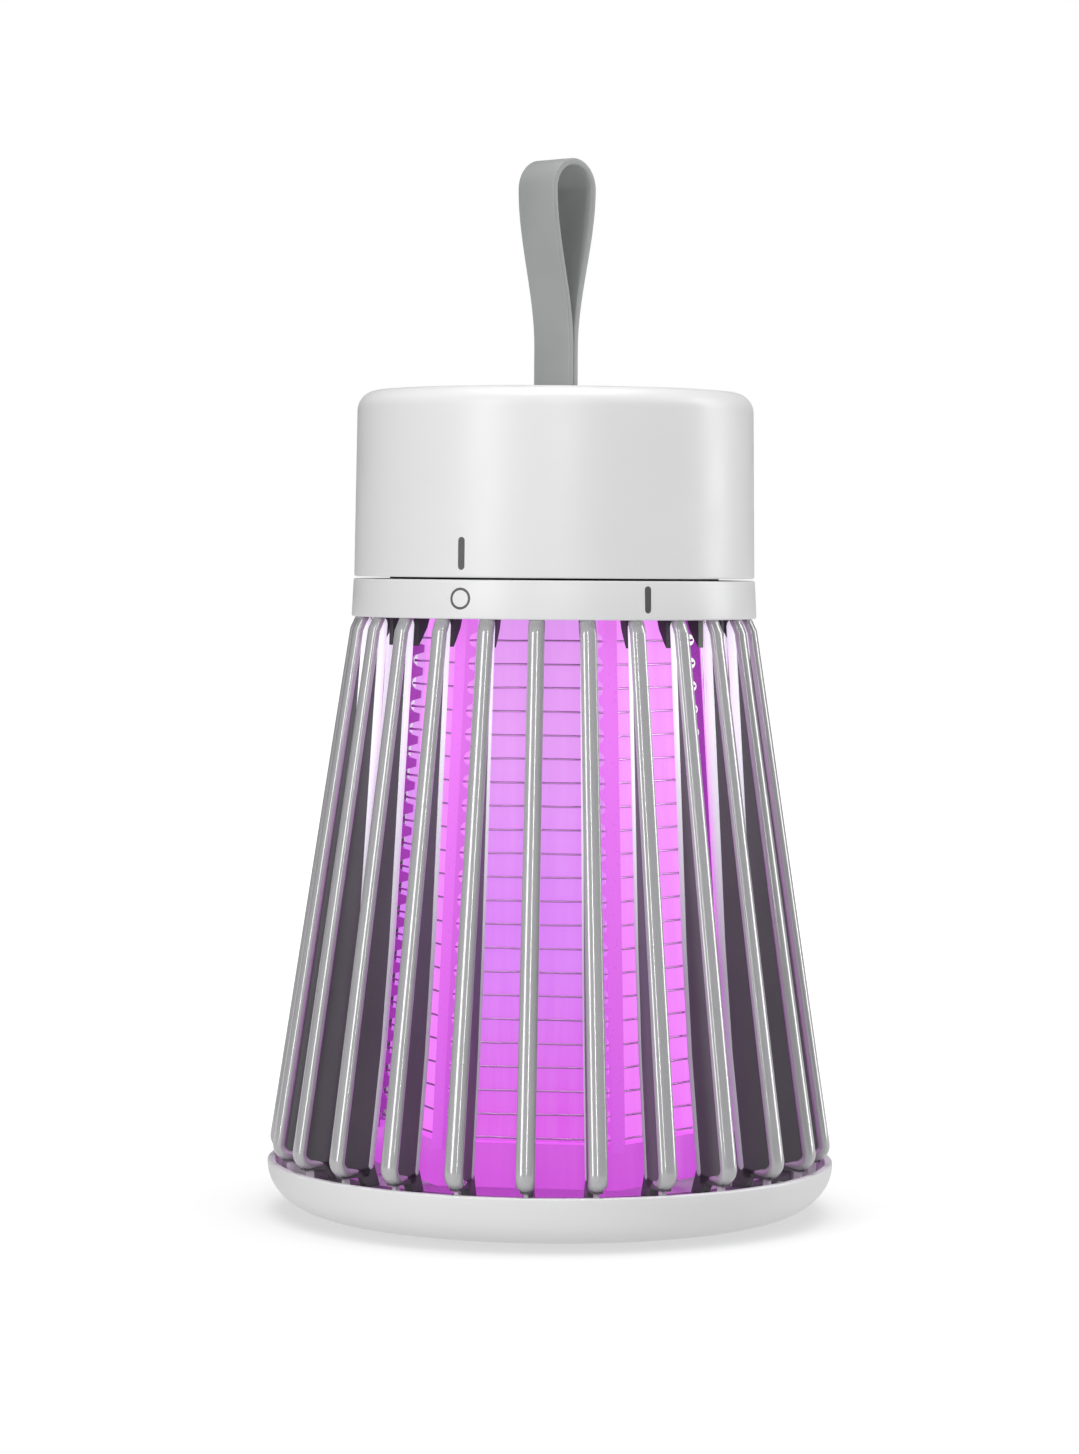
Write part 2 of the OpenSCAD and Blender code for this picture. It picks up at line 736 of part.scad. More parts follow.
module grid_wire(first) {
    color("silver") for (i = [first : 2 : wire_count - 1]) wire_loop(wire_z(i));
}

module busbar(turn, first) {
    gap = wire_t / 2 + 0.02;
    riser_r = flat_r(core_top) + 0.9;
    color("goldenrod") at_turn(turn) {
        upright(2.4) {
            polygon([[flat_r(wire_low) + 0.9, wire_low - 0.5], [flat_r(wire_low) + 0.9 + bar_t, wire_low - 0.5],
                [riser_r + bar_t, core_top], [riser_r + bar_t, pcb_low], [riser_r, pcb_low], [riser_r, core_top]]);
            for (i = [first : 2 : wire_count - 1]) translate([flat_r(wire_z(i)) + gap, wire_z(i) - 0.3])
                square([0.9, 0.6]);
        }
    }
}

module grid_top_plate() {
    color("mediumorchid") difference() {
        translate([0, 0, plate_low]) cylinder(h = plate_high - plate_low, r = plate_r);
        for (i = [0 : 5]) at_turn(post_turn + i * 60) translate([lit_r(plate_high) - 0.2, -post_t / 2 - fit, 0])
            cube([far, post_t + 2 * fit, far]);
        for (i = [0 : 2]) at_turn(post_turn + 30 + i * 120) translate([plate_r - 1.7, 0, 0]) {
            cylinder(h = far, r = 1.1, $fn = 32);
            cylinder(h = plate_low + 1, r = 1.65, $fn = 32);
        }
        for (turn = [live_turn, return_turn]) at_turn(turn) translate([flat_r(core_top) + 0.6, -1.6, 0])
            cube([1.1, 3.2, far]);
        translate([0, 0, plate_low]) cube([board_w + 0.2, board_t + 0.2, far], center = true);
    }
}

module grid_screws() {
    color("silver") for (i = [0 : 2]) at_turn(post_turn + 30 + i * 120) translate([plate_r - 1.7, 0, plate_low + 1])
        screw(1.6, 0.9, 0.8, 4);
}

module led_board() {
    color("white") translate([-board_w / 2, -board_t / 2, board_low]) cube([board_w, board_t, pcb_low - board_low]);
}

module uv_leds() {
    pitch = (core_top - board_low - 12) / (led_count - 1);
    color("violet") for (side = [-1, 1]) for (i = [0 : led_count - 1])
        translate([0, side * (board_t / 2 + 0.8), board_low + 6 + i * pitch])
            cube([led_size, 1.6, led_size], center = true);
}

module core_base() {
    wall = 1.6;
    color("mediumorchid") difference() {
        hex_cone(core_low, core_foot - fit, post_w - foot_step);
        hex_cone(core_low - 1, core_foot - fit - wall - 1.5, post_w - foot_step - wall / facet);
        for (i = [0 : 5]) at_turn(post_turn + i * 60)
            translate([lit_r(post_low) - 0.4, -post_t / 2 - fit, post_low - fit])
                cube([far, post_t + 2 * fit, far]);
    }
}

live_turn = post_turn + 150;
return_turn = post_turn + 210;

base_tray();
tray_ribs();
rubber_feet();
fins();
upper_hoop();
lower_hoop();
top_ring();
ring_mark_off();
ring_mark_on();
collar_hub();
cap_shell();
cap_mark();
strap();
strap_pin();
head_base();
head_spigot();
cap_screws();
retaining_ring();
main_pcb();
pcb_screws();
battery_cell();
battery_holder();
transformer_core();
transformer_winding();
hv_capacitors();
rectifier_diodes();
usb_socket();
charge_lamp();
switch_body();
switch_plunger();
grid_top_plate();
grid_screws();
light_diffuser();
led_board();
uv_leds();
core_base();
grid_post(1);  // grid_post_1
grid_post(2);  // grid_post_2
grid_post(3);  // grid_post_3
grid_post(4);  // grid_post_4
grid_post(5);  // grid_post_5
grid_post(6);  // grid_post_6
grid_wire(0);  // grid_wire_live
grid_wire(1);  // grid_wire_return
busbar(live_turn, 0);  // busbar_live
busbar(return_turn, 1);  // busbar_return
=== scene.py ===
"""Looks of a rechargeable bug zapper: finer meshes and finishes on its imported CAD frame.

Lengths in the piece builders are millimetres; mesh_piece() turns them into metres.
A "turn" is an angle in degrees from the front (-Y), positive towards +X, as in the CAD source.
"""

import math
import random

import bmesh
import bpy
from mathutils import Matrix, Vector


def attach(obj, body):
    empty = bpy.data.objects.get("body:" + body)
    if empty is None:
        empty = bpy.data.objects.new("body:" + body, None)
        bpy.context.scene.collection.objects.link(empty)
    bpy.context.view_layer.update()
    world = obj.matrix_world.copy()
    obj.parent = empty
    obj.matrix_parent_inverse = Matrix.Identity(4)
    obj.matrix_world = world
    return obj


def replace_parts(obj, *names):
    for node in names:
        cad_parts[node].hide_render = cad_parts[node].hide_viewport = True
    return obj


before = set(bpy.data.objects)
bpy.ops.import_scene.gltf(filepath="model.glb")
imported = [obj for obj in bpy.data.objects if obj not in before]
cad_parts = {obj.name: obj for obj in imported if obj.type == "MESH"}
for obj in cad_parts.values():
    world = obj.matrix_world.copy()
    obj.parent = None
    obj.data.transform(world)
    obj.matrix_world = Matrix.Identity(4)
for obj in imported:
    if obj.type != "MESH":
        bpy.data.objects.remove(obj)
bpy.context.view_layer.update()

MM = 0.001
FRONT = -90.0

# ------------------------------------------------------------------ the CAD's own sizes, in mm
TRAY_R, TRAY_FLAT_R, TRAY_LOW, TRAY_TOP, TRAY_FLOOR = 56.3, 45.0, 0.6, 10.6, 2.6
FIN_COUNT, FIN_TURN, FIN_LOW, FIN_HIGH = 25, -4.84, 11.1, 118.1
CAGE_FOOT_R, CAGE_TOP_R = 56.5, 40.3
BEAD_FOOT_R, BEAD_TOP_R, BEAD_DEPTH, FIN_T = 1.85, 1.6, 0.68, 2.0
FIN_INNER_FOOT_R = 46.5
RING_LOW, RING_TOP, RING_R, RING_TOP_R, RING_BORE_R = 118.4, 125.9, 40.2, 39.8, 38.7
FLANGE_LOW, FLANGE_BORE_R = 124.0, 33.12
CAP_LOW, CAP_HIGH, CAP_CEILING = 126.3, 163.0, 160.2
CAP_R, CAP_TOP_R, CAP_BORE_R, CAP_EDGE_R = 39.7, 39.2, 37.3, 4.0
MARK_TURN, RING_MARK_Z, CAP_MARK_Z = 26.6, 122.3, 130.9
STRAP_TURN, STRAP_W, STRAP_T, LOOP_R, STRAP_TOP, STRAP_FUSE_Z = 45.0, 10.0, 1.3, 6.0, 209.0, 172.0
STRAP_ROOT_Z = 157.8
PCB_TOP, USB_W, USB_H, LAMP_X, LAMP_R = 134.6, 9.0, 3.2, 10.0, 1.5
POST_TURN, CORE_FOOT, CORE_TOP, LIT_FOOT_R, LIT_TOP_R = 22.0, 17.4, 118.75, 31.9, 25.4
WIRE_COUNT, WIRE_HIGH, WIRE_LOW, WIRE_OFF, WIRE_R = 22, 114.15, 18.3, 2.1, 0.21


def between(a, b, share):
    return a + (b - a) * share


def lit_r(z):
    return between(LIT_FOOT_R, LIT_TOP_R, (z - CORE_FOOT) / (CORE_TOP - CORE_FOOT))


def cage_r(z):
    return between(CAGE_FOOT_R, CAGE_TOP_R, (z - FIN_LOW) / (FIN_HIGH - FIN_LOW))


def turned(turn):
    """The matrix that places a piece made in the plane y = 0, x outwards, at a turn."""
    return Matrix.Rotation(math.radians(turn + FRONT), 4, "Z")


# ------------------------------------------------------------------ camera, floor and light

def make_camera():
    """A long lens a little above the object, as in the photograph."""
    data = bpy.data.cameras.new("camera")
    data.lens, data.sensor_width, data.clip_end = 105.85, 36.0, 50.0
    camera = bpy.data.objects.new("camera", data)
    bpy.context.scene.collection.objects.link(camera)
    pan, tilt, roll = math.radians(0.183), math.radians(90 - 2.254), math.radians(0.43)
    turn = Matrix.Rotation(pan, 4, "Z") @ Matrix.Rotation(tilt, 4, "X") @ Matrix.Rotation(roll, 4, "Z")
    camera.matrix_world = Matrix.Translation((0, -0.850, 0.130)) @ turn
    bpy.context.scene.camera = camera


def softbox(name, azimuth, distance, height, width, tall, power):
    """An area light at an azimuth from the front that faces the middle of the object; metres and watts."""
    data = bpy.data.lights.new(name, "AREA")
    data.shape, data.size, data.size_y, data.energy = "RECTANGLE", width, tall, power
    light = bpy.data.objects.new(name, data)
    bpy.context.scene.collection.objects.link(light)
    a = math.radians(azimuth)
    at = Vector((math.sin(a) * distance, -math.cos(a) * distance, height))
    light.location = at
    light.rotation_euler = (at - Vector((0, 0, 0.1))).to_track_quat("Z", "Y").to_euler()


def make_world():
    """A soft grey surround for light and reflections, seen by the camera as plain white."""
    world = bpy.data.worlds.new("studio")
    bpy.context.scene.world = world
    world.use_nodes = True
    nodes, links = world.node_tree.nodes, world.node_tree.links
    nodes.clear()
    out = nodes.new("ShaderNodeOutputWorld")
    mix = nodes.new("ShaderNodeMixShader")
    path = nodes.new("ShaderNodeLightPath")
    light, seen = nodes.new("ShaderNodeBackground"), nodes.new("ShaderNodeBackground")
    light.inputs[0].default_value, light.inputs[1].default_value = (0.96, 0.97, 1.0, 1), 0.03
    seen.inputs[0].default_value, seen.inputs[1].default_value = (1, 1, 1, 1), 1.0
    links.new(path.outputs["Is Camera Ray"], mix.inputs[0])
    links.new(light.outputs[0], mix.inputs[1])
    links.new(seen.outputs[0], mix.inputs[2])
    links.new(mix.outputs[0], out.inputs[0])


def make_stage():
    make_camera()
    make_world()
    bpy.context.scene.view_settings.view_transform = "Standard"
    softbox("key_left", -40, 1.25, 0.35, 0.34, 1.1, 8.0)
    softbox("front_strip", 5, 1.35, 0.62, 0.10, 1.1, 4.6)
    softbox("right_edge", 104, 1.1, 0.35, 0.36, 1.1, 7.2)
    softbox("overhead", 0, 0.05, 1.35, 0.9, 0.9, 13.5)
    mesh = bpy.data.meshes.new("floor")
    mesh.from_pydata([(-8, -8, 0), (8, -8, 0), (8, 8, 0), (-8, 8, 0)], [], [(0, 1, 2, 3)])
    floor = bpy.data.objects.new("floor", mesh)
    bpy.context.scene.collection.objects.link(floor)
    mesh.materials.append(floor_finish())


def floor_finish():
    """A white studio floor: it lights the object softly, carries a painted contact shadow near it and fades
    into the backdrop.

    The camera sees from near to wide over the range of distances from the axis, in metres. Other rays
    meet bounce, the light that the floor gives back to the object.
    """
    near, wide, range_near, range_wide, bounce, shade_reach = 0.74, 1.08, 0.062, 0.16, 0.50, 0.016
    made, shader, nodes, links = shader_material("floor_white")
    shader.inputs["Base Color"].default_value = (0.26, 0.26, 0.26, 1)
    shader.inputs["Roughness"].default_value = 0.9
    shader.inputs["Specular IOR Level"].default_value = 0.0
    shader.inputs["Emission Color"].default_value = (1, 1, 1, 1)
    geometry, length = nodes.new("ShaderNodeNewGeometry"), nodes.new("ShaderNodeVectorMath")
    length.operation = "LENGTH"
    links.new(geometry.outputs["Position"], length.inputs[0])
    open_floor = spread(nodes, links, length.outputs["Value"], near, wide, range_near, range_wide)
    # painted contact shadow: ambient occlusion darkens the floor's glow near the object, as the camera sees
    # it
    shade, path = nodes.new("ShaderNodeAmbientOcclusion"), nodes.new("ShaderNodeLightPath")
    shade.samples, shade.inputs["Distance"].default_value = 16, shade_reach
    seen, strength = nodes.new("ShaderNodeMath"), nodes.new("ShaderNodeMix")
    seen.operation = "MULTIPLY"
    links.new(open_floor, seen.inputs[0])
    links.new(spread(nodes, links, shade.outputs["AO"], 0.72, 1.0, 0.25, 0.85), seen.inputs[1])
    strength.inputs["A"].default_value = bounce
    links.new(path.outputs["Is Camera Ray"], strength.inputs["Factor"])
    links.new(seen.outputs[0], strength.inputs["B"])
    links.new(strength.outputs["Result"], shader.inputs["Emission Strength"])
    return made


# ------------------------------------------------------------------ materials

def shader_material(name):
    """A new node material, as (material, its shader, its nodes, its links)."""
    made = bpy.data.materials.new(name)
    made.use_nodes = True
    nodes, links = made.node_tree.nodes, made.node_tree.links
    return made, nodes["Principled BSDF"], nodes, links


def noise(nodes, links, scale, detail=2.0, stretch=(1, 1, 1)):
    """A noise texture over the piece's own coordinates."""
    place, shape = nodes.new("ShaderNodeTexCoord"), nodes.new("ShaderNodeMapping")
    shape.inputs["Scale"].default_value = stretch
    texture = nodes.new("ShaderNodeTexNoise")
    texture.inputs["Scale"].default_value = scale
    texture.inputs["Detail"].default_value = detail
    links.new(place.outputs["Object"], shape.inputs["Vector"])
    links.new(shape.outputs["Vector"], texture.inputs["Vector"])
    return texture.outputs["Fac"]


def spread(nodes, links, value, low, high, low_in=0.3, high_in=0.7):
    """A node's output mapped from low_in..high_in to low..high, and held at those ends."""
    node = nodes.new("ShaderNodeMapRange")
    for socket, number in zip(node.inputs[1:5], (low_in, high_in, low, high)):
        socket.default_value = number
    links.new(value, node.inputs[0])
    return node.outputs[0]


def mix_colours(nodes, links, share, first, second):
    """A blend of two colours, each a colour or another node's output."""
    node = nodes.new("ShaderNodeMix")
    node.data_type = "RGBA"
    links.new(share, node.inputs[0])
    for socket, colour in ((node.inputs[6], first), (node.inputs[7], second)):
        if isinstance(colour, bpy.types.NodeSocket):
            links.new(colour, socket)
        else:
            socket.default_value = (*colour[:3], 1)
    return node.outputs[2]


def finish_of(name, colour, roughness, metal=0.0, vary=0.05, patch=60.0, grain=0.0, grain_size=0.25,
              stretch=(1, 1, 1), **sockets):
    """A moulded, painted or metal finish: its colour and gloss drift, and its surface has a fine grain.

    patch is the drift's scale, grain the bump's depth in mm and grain_size its spacing in mm.
    """
    made, shader, nodes, links = shader_material(name)
    drift = noise(nodes, links, patch, 4.0, stretch)
    dark = [c * (1 - vary) for c in colour]
    light = [min(1, c * (1 + vary)) for c in colour]
    drifted = mix_colours(nodes, links, spread(nodes, links, drift, 0, 1), dark, light)
    links.new(drifted, shader.inputs["Base Color"])
    gloss = noise(nodes, links, patch * 3, 3.0, stretch)
    rough = spread(nodes, links, gloss, roughness * 0.9, min(1, roughness * 1.1))
    links.new(rough, shader.inputs["Roughness"])
    shader.inputs["Metallic"].default_value = metal
    if grain:
        bump = nodes.new("ShaderNodeBump")
        bump.inputs["Strength"].default_value = 0.5
        bump.inputs["Distance"].default_value = grain * MM
        links.new(noise(nodes, links, 1000 / grain_size, 2.0, stretch), bump.inputs["Height"])
        links.new(bump.outputs[0], shader.inputs["Normal"])
    for socket, value in sockets.items():
        shader.inputs[socket.replace("_", " ")].default_value = value
    return made


# ------------------------------------------------------------------ mesh building

class Shape:
    """Points in millimetres and faces, gathered part by part and made into one mesh at the end."""

    def __init__(self):
        self.points, self.faces, self.slots = [], [], []

    def add(self, points, faces, slot=0, place=None):
        first = len(self.points)
        self.points += [(place @ Vector(p)) if place else Vector(p) for p in points]
        self.faces += [[first + i for i in face] for face in faces]
        self.slots += [slot] * len(faces)

    def lathe(self, outline, steps=192, slot=0):
        """A closed outline of (radius, height) turned round the Z axis."""
        n = len(outline)
        points = [(r * math.cos(a), r * math.sin(a), z)
                  for a in (2 * math.pi * i / steps for i in range(steps)) for r, z in outline]
        faces = [(i * n + j, (i + 1) % steps * n + j, (i + 1) % steps * n + (j + 1) % n, i * n + (j + 1) % n)
                 for i in range(steps) for j in range(n)]
        self.add(points, faces, slot)

    def slab(self, outline, thickness, slot=0, place=None):
        """A closed outline of (x, z) made into a plate of that thickness about y = 0."""
        n, half = len(outline), thickness / 2
        points = [(x, -half, z) for x, z in outline] + [(x, half, z) for x, z in outline]
        faces = [tuple(range(n)), tuple(range(2 * n - 1, n - 1, -1))]
        faces += [(i, i + n, (i + 1) % n + n, (i + 1) % n) for i in range(n)]
        self.add(points, faces, slot, place)

    def sweep(self, path, section, slot=0, place=None, closed=False, side=Vector((0, 1, 0))):
        """A cross-section of (across, out) carried along a path; section(i) gives it at point i.

        across runs along side, and out at right angles to side and to the path.
        """
        count = len(path)
        rows = []
        for i, at in enumerate(path):
            before = path[i - 1] if closed or i else path[i]
            after = path[(i + 1) % count] if closed or i < count - 1 else path[i]
            along = (Vector(after) - Vector(before)).normalized()
            out = side.cross(along).normalized()
            rows.append([Vector(at) + side * a + out * o for a, o in section(i)])
        n = len(rows[0])
        faces = [(i * n + j, i * n + (j + 1) % n, (i + 1) % count * n + (j + 1) % n, (i + 1) % count * n + j)
                 for i in range(count if closed else count - 1) for j in range(n)]
        if not closed:
            faces += [tuple(range(n - 1, -1, -1)), tuple(range((count - 1) * n, count * n))]
        self.add([p for row in rows for p in row], faces, slot, place)


def circle(radius, steps=16, squash=1.0):
    return [(radius * math.cos(2 * math.pi * i / steps), squash * radius * math.sin(2 * math.pi * i / steps))
            for i in range(steps)]


def rounded(corners, steps=5, closed=True):
    """An outline from (x, y, radius) corners, each rounded by its radius."""
    outline, n = [], len(corners)
    for i, (x, y, radius) in enumerate(corners):
        at = Vector((x, y))
        if radius <= 0 or (not closed and i in (0, n - 1)):
            outline.append((x, y))
            continue
        to_before = (Vector(corners[i - 1][:2]) - at).normalized()
        to_after = (Vector(corners[(i + 1) % n][:2]) - at).normalized()
        half = to_before.angle(to_after) / 2
        centre = at + (to_before + to_after).normalized() * radius / math.sin(half)
        start = at + to_before * radius / math.tan(half) - centre
        end = at + to_after * radius / math.tan(half) - centre
        whole = start.angle(end)
        for k in range(steps + 1):
            t = k / steps
            p = centre + (start * math.sin((1 - t) * whole) + end * math.sin(t * whole)) / math.sin(whole)
            outline.append((p.x, p.y))
    return outline


def mesh_piece(name, shape, body, materials, sharp=40.0):
    """The shape as one smooth-shaded piece that rides on a body."""
    mesh = bpy.data.meshes.new(name)
    mesh.from_pydata([tuple(c * MM for c in p) for p in shape.points], [], shape.faces)
    for polygon, number in zip(mesh.polygons, shape.slots):
        polygon.material_index = number
    for made in materials:
        mesh.materials.append(made)
    work = bmesh.new()
    work.from_mesh(mesh)
    bmesh.ops.remove_doubles(work, verts=work.verts, dist=1e-7)
    bmesh.ops.dissolve_degenerate(work, edges=work.edges, dist=1e-8)
    bmesh.ops.recalc_face_normals(work, faces=work.faces)
    work.to_mesh(mesh)
    work.free()
    mesh.shade_smooth()
    mesh.set_sharp_from_angle(angle=math.radians(sharp))
    piece = bpy.data.objects.new(name, mesh)
    bpy.context.scene.collection.objects.link(piece)
    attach(piece, body)
    return piece


def cut(piece, *cutters):
    """Takes the cutters' shapes out of a piece for good."""
    for shape in cutters:
        mesh = bpy.data.meshes.new("cutter")
        mesh.from_pydata([tuple(c * MM for c in p) for p in shape.points], [], shape.faces)
        work = bmesh.new()
        work.from_mesh(mesh)
        bmesh.ops.remove_doubles(work, verts=work.verts, dist=1e-7)
        bmesh.ops.recalc_face_normals(work, faces=work.faces)
        work.to_mesh(mesh)
        work.free()
        tool = bpy.data.objects.new("cutter", mesh)
        bpy.context.scene.collection.objects.link(tool)
        modifier = piece.modifiers.new("cut", "BOOLEAN")
        modifier.operation, modifier.object, modifier.solver = "DIFFERENCE", tool, "EXACT"
        evaluated = piece.evaluated_get(bpy.context.evaluated_depsgraph_get())
        made = bpy.data.meshes.new_from_object(evaluated)
        piece.modifiers.clear()
        piece.data = made
        bpy.data.objects.remove(tool)
    piece.data.shade_smooth()
    piece.data.set_sharp_from_angle(angle=math.radians(32))


# ------------------------------------------------------------------ tray

def make_tray(white):
    shape = Shape()
    belly = [(between(TRAY_FLAT_R, TRAY_R, math.sin(a)), TRAY_TOP - 0.35 - (TRAY_TOP - 0.95) * math.cos(a))
             for a in (math.pi / 2 * i / 32 for i in range(33))]
    lip = rounded([(TRAY_R, TRAY_TOP - 0.35, 0), (TRAY_R, TRAY_TOP, 0.32), (TRAY_R - 1.6, TRAY_TOP, 0.3),
                   (TRAY_R - 1.6, TRAY_TOP - 1.2, 0.25), (TRAY_R - 3.1, 6.2, 1.5), (TRAY_R - 5.7, 3.6, 2.5),
                   (TRAY_FLAT_R + 1, TRAY_FLOOR, 3.0), (0, TRAY_FLOOR, 0)], 5, closed=False)
    shape.lathe([(0, TRAY_LOW)] + belly + lip[1:], 240)
    shape.lathe(rounded([(45.5, 2.5, 0), (47.9, 2.5, 0), (47.9, 5.95, 0.3), (45.5, 5.95, 0.3)], 3), 160)
    rib_in, rib_out, rib_top, rib_t = 47.0, TRAY_R - 2.6, TRAY_TOP - 1.6, 0.8
    peg_in, peg_top = TRAY_R - 4.5, FIN_LOW - 0.05
    peg_out = peg_in + 1.4
    rib = rounded([(rib_in, 2.2, 0), (rib_out, TRAY_TOP - 2.6, 0), (rib_out, rib_top, 0.2),
                   (peg_out, rib_top, 0.3), (peg_out, peg_top, 0.35), (peg_in, peg_top, 0.35),
                   (peg_in, rib_top - 0.2, 0.3), (rib_in, rib_top - 0.2, 0.2)], 3)
    for i in range(FIN_COUNT):
        shape.slab(rib, rib_t, 0, turned(FIN_TURN + i * 360 / FIN_COUNT))
    tray = mesh_piece("tray_dish", shape, "tray", [white], 35)
    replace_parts(tray, "base_tray", "tray_ribs")


# ------------------------------------------------------------------ fins

def bead_path():
    """The centre line of a fin's round edge, (x, z), from under the ring down and round its foot."""
    high, low = FIN_HIGH - BEAD_TOP_R - 0.1, FIN_LOW + BEAD_DEPTH * BEAD_FOOT_R
    top_x = cage_r(high) - BEAD_DEPTH * BEAD_TOP_R
    foot_x = cage_r(low) - BEAD_DEPTH * BEAD_FOOT_R
    return rounded([(top_x - 0.9, FIN_HIGH - 0.4, 0), (top_x, high - 0.6, 1.2), (foot_x, low, 2.1),
                    (foot_x - 4.4, low, 0)], 10, closed=False)


def densify(path, step):
    """The same line with points no further apart than step."""
    dense = [path[0]]
    for a, b in zip(path, path[1:]):
        pieces = max(1, math.ceil(math.dist(a, b) / step))
        dense += [tuple(between(p, q, k / pieces) for p, q in zip(a, b)) for k in range(1, pieces + 1)]
    return dense


def tapered(path, radius_at, ends=5):
    """A path with dome-shaped ends: [(point, radius)]."""
    line = [(Vector(p), radius_at(p)) for p in path]
    for first, second, front in ((line[0], line[1], True), (line[-1], line[-2], False)):
        away, radius = (first[0] - second[0]).normalized(), first[1]
        dome = [(first[0] + away * radius * math.sin(a), max(0.02, radius * math.cos(a)))
                for a in (math.pi / 2 * k / ends for k in range(1, ends + 1))]
        line = dome[::-1] + line if front else line + dome
    return line


def make_fins(bead_grey, plate_painted_shade_grey, edge_painted_highlight):
    """25 fins: a plate in a darker grey that is painted shade, a round light bead round its outer edge and a
    ridge within that carries a painted highlight.
    """
    def share_up(z):
        return (z - FIN_LOW) / (FIN_HIGH - FIN_LOW)

    line = densify(bead_path(), 6.0)
    foot_x = line[-1][0]

    def bead_radius(p):
        thin = min(1.0, 0.62 + (p[0] - foot_x) / 8) if p[2] < FIN_LOW + 3 else 1.0
        return between(BEAD_FOOT_R, BEAD_TOP_R, share_up(p[2])) * thin

    bead = tapered([(x, 0, z) for x, z in line], bead_radius)
    inner = [(38.0, FIN_HIGH - 0.9), (38.9, 104.0), (40.0, 88.0), (41.1, 72.0), (42.2, 56.0),
             (44.2, 35.0), (FIN_INNER_FOOT_R + 0.6, FIN_LOW + 2.0)]
    ridge = tapered([(x, 0, z) for x, z in inner], lambda p: between(1.18, 1.34, share_up(p[2])), 3)
    web = [(38.3, FIN_HIGH - 0.1), (36.8, FIN_HIGH - 0.1), (37.6, 104.5), (39.3, 84.0),
           (42.0, 58.0), (42.4, 56.0)]
    plate = bead_path() + [(foot_x - 1.5, FIN_LOW + 0.7)] + inner[::-1]
    plate += [(38.0, FIN_HIGH - 0.3)]
    web_t = 1.1
    shape = Shape()
    for i in range(FIN_COUNT):
        place = turned(FIN_TURN + i * 360 / FIN_COUNT)
        shape.sweep([p for p, _ in bead], lambda k: circle(bead[k][1], 24, BEAD_DEPTH), 0, place)
        shape.slab(plate, FIN_T, 1, place)
        shape.slab(web, web_t, 1, place)
        shape.sweep([p for p, _ in ridge], lambda k: circle(ridge[k][1], 14), 2, place)
        shape.slab([(44.9, 9.25), (48.0, 9.25), (49.8, 12.6), (46.3, 13.4)], FIN_T, 1, place)
        shape.slab([(foot_x - 3.0, FIN_LOW + 0.05), (foot_x + 3.4, FIN_LOW + 0.05),
                    (foot_x + 4.0, FIN_LOW + 1.6), (foot_x - 3.4, FIN_LOW + 1.6)], FIN_T, 1, place)
    finishes = [bead_grey, plate_painted_shade_grey, edge_painted_highlight]
    fins = mesh_piece("cage_fins", shape, "cage", finishes, 50)
    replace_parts(fins, "fins")


# ------------------------------------------------------------------ ring, cap and marks

def on_wall(turn, z, across, up, radius):
    """A point on a wall of that radius, across mm round it from a turn and up mm above z."""
    a = math.radians(turn + FRONT) + across / radius
    return (radius * math.cos(a), radius * math.sin(a), z + up)


def wall_prism(outline, turn, z, inner, outer, hole=None):
    """An outline of (across, up) on a round wall, as a solid between two radii."""
    shape = Shape()
    n = len(outline)
    points = [on_wall(turn, z, x * outer / 40, y, r) for r in (inner, outer) for x, y in outline]
    sides = [(i, (i + 1) % n, (i + 1) % n + n, i + n) for i in range(n)]
    if hole is None:
        shape.add(points, sides + [tuple(range(n - 1, -1, -1)), tuple(range(n, 2 * n))])
        return shape
    points += [on_wall(turn, z, x * outer / 40, y, r) for r in (inner, outer) for x, y in hole]
    within = [(2 * n + i, 3 * n + i, 3 * n + (i + 1) % n, 2 * n + (i + 1) % n) for i in range(n)]
    caps = [(i, i + 2 * n, (i + 1) % n + 2 * n, (i + 1) % n) for i in range(n)]
    tops = [(i + n, (i + 1) % n + n, (i + 1) % n + 3 * n, i + 3 * n) for i in range(n)]
    shape.add(points, sides + within + caps + tops)
    return shape


def bar_outline(width, height):
    half, top = width / 2, (height - width) / 2
    bend = [math.pi * k / 10 for k in range(11)]
    return ([(half * math.cos(a), top + half * math.sin(a)) for a in bend]
            + [(-half * math.cos(a), -top - half * math.sin(a)) for a in bend])


def marks():
    """The switch marks as (name, body, CAD node, wall radius, outline, hole, turn, height)."""
    ring_r = between(RING_R, RING_TOP_R, 0.52)
    return [("mark_off", "collar", "ring_mark_off", ring_r,
             circle(2.1, 48), circle(1.6, 48), -MARK_TURN, RING_MARK_Z),
            ("mark_on", "collar", "ring_mark_on", ring_r,
             bar_outline(1.35, 5.2), None, MARK_TURN, RING_MARK_Z),
            ("mark_cap", "head", "cap_mark", CAP_R - 0.06,
             bar_outline(1.4, 6.3), None, -MARK_TURN, CAP_MARK_Z)]


def make_marks(ink):
    for name, body, node, radius, outline, hole, turn, z in marks():
        shape = wall_prism(outline, turn, z, radius - 0.4, radius - 0.1, hole)
        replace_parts(mesh_piece(name, shape, body, [ink], 30), node)


def mark_cutters(body):
    return [wall_prism(outline, turn, z, radius - 0.38, radius + 1.0, hole)
            for _, on, _, radius, outline, hole, turn, z in marks() if on == body]


def make_ring(white):
    shape = Shape()
    outline = [(RING_R, RING_LOW, 0.35), (RING_TOP_R, RING_TOP, 0.35), (FLANGE_BORE_R, RING_TOP, 0.2),
               (FLANGE_BORE_R, FLANGE_LOW, 0.2), (RING_BORE_R, FLANGE_LOW, 0.4), (RING_BORE_R, RING_LOW, 0.2)]
    shape.lathe(rounded(outline, 4), 256)
    ring = mesh_piece("top_band", shape, "collar", [white], 35)
    cut(ring, *mark_cutters("collar"))
    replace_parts(ring, "top_ring")


